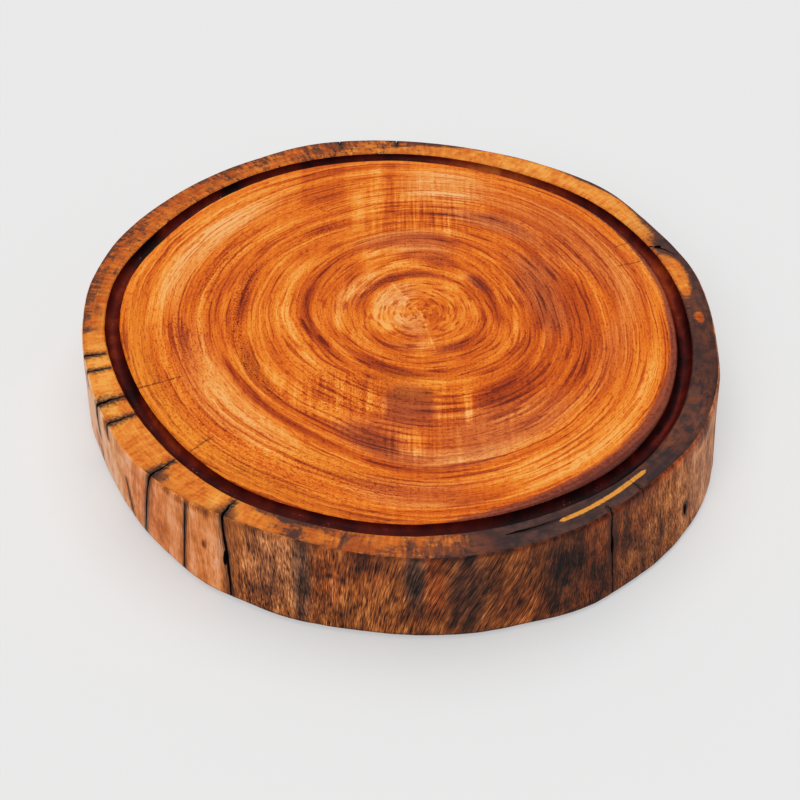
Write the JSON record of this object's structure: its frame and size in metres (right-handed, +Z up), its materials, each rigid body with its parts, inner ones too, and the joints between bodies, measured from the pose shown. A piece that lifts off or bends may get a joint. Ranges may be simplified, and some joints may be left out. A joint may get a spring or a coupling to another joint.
{
  "type": "log slice cutting board",
  "caption": "Thick round log slice with a live edge, a juice groove that follows its outline, natural drying checks and recessed screw-on rubber feet.",
  "frame": {"origin": "on the supporting surface, below the middle of the slab's bounding box", "axes": "+Z up, square to the carving face; -Y is the side nearest the camera in the picture, +X is to its right"},
  "size_m": [0.405, 0.4218, 0.0625],
  "materials": {
    "oiled_wood": "oiled end grain, satin, with a charred-dark stained groove",
    "black_rubber": "moulded, matte",
    "zinc_plated_steel": "bright zinc plating"
  },
  "bodies": {
    "root": {"slab": "oiled_wood", "foot_1": "black_rubber", "foot_2": "black_rubber", "foot_3": "black_rubber", "foot_4": "black_rubber", "foot_washer_1": "zinc_plated_steel", "foot_washer_2": "zinc_plated_steel", "foot_washer_3": "zinc_plated_steel", "foot_washer_4": "zinc_plated_steel", "foot_screw_1": "zinc_plated_steel", "foot_screw_2": "zinc_plated_steel", "foot_screw_3": "zinc_plated_steel", "foot_screw_4": "zinc_plated_steel"}
  },
  "joints": []
}
